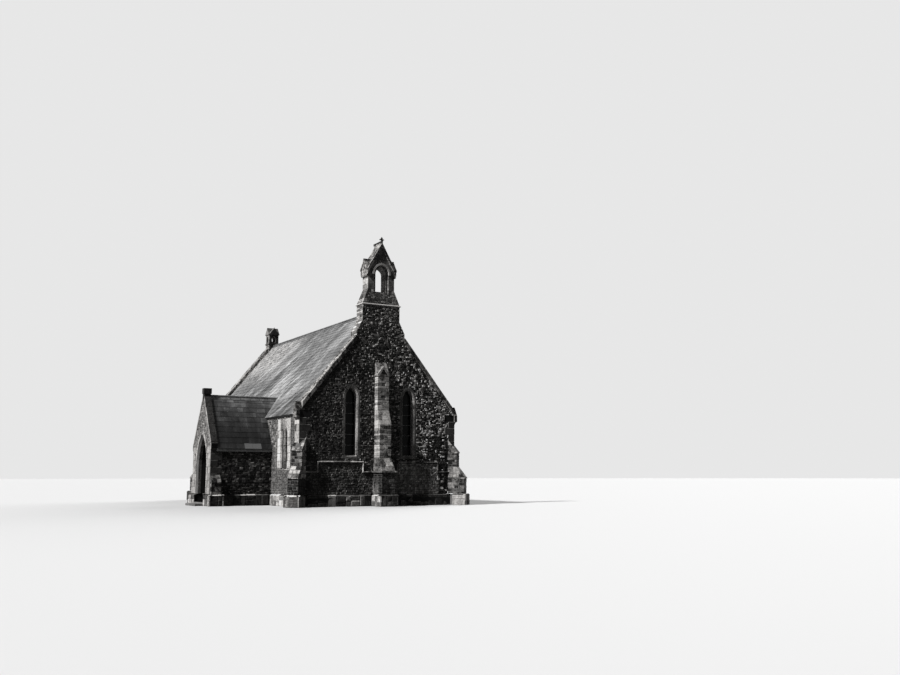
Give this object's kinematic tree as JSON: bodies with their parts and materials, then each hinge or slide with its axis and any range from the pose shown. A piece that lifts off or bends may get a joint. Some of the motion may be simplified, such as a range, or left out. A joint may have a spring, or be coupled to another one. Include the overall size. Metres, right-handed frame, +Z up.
{
  "type": "small stone chapel",
  "caption": "Small stone chapel with a steep slate roof, a bellcote on the west gable, lancet windows, weathered buttresses and a gabled south porch.",
  "frame": {"origin": "on the nave centre line, midway along the nave, at the lowest ground level", "axes": "+Z up, +Y east along the nave away from the bellcote, -X south towards the porch"},
  "size_m": [11.2906, 16.2306, 11.831],
  "materials": {
    "rubble_stone": "rough coursed rubble",
    "dressed_stone": "tooled, weathered",
    "floor_stone": "worn flagstones",
    "roof_slate": "split slates with pale streaks",
    "ridge_tile": "matte",
    "window_glass": "leaded, dull",
    "door_wood": "weathered planks"
  },
  "bodies": {
    "root": {"nave_footing": "rubble_stone", "nave_floor": "floor_stone", "west_wall": "rubble_stone", "east_wall": "rubble_stone", "north_wall": "rubble_stone", "south_wall_west": "rubble_stone", "south_wall_east": "rubble_stone", "south_wall_over_door": "rubble_stone", "nave_roof_south": "roof_slate", "nave_roof_north": "roof_slate", "ridge_tiles": "ridge_tile", "west_coping": "dressed_stone", "east_coping": "dressed_stone", "kneelers": "dressed_stone", "west_string": "dressed_stone", "east_string": "dressed_stone", "lancet_surrounds": "dressed_stone", "side_window_surrounds": "dressed_stone", "gable_glazing": "window_glass", "side_glazing": "window_glass", "central_buttress": "rubble_stone", "corner_buttresses": "rubble_stone", "bellcote_shaft": "rubble_stone", "bellcote_string": "dressed_stone", "belfry": "rubble_stone", "hood_moulds": "dressed_stone", "bellcote_roof": "dressed_stone", "finial": "dressed_stone", "turret_shaft": "rubble_stone", "turret_head": "dressed_stone", "turret_roof": "dressed_stone", "porch_footing": "rubble_stone", "porch_floor": "floor_stone", "porch_west_wall": "rubble_stone", "porch_east_wall": "rubble_stone", "porch_jamb_west": "rubble_stone", "porch_jamb_east": "rubble_stone", "porch_arch": "rubble_stone", "porch_roof_west": "roof_slate", "porch_roof_east": "roof_slate", "porch_coping": "dressed_stone", "porch_apex_block": "dressed_stone", "porch_buttresses": "rubble_stone", "doorstep": "floor_stone", "nave_door": "door_wood"}
  },
  "joints": []
}
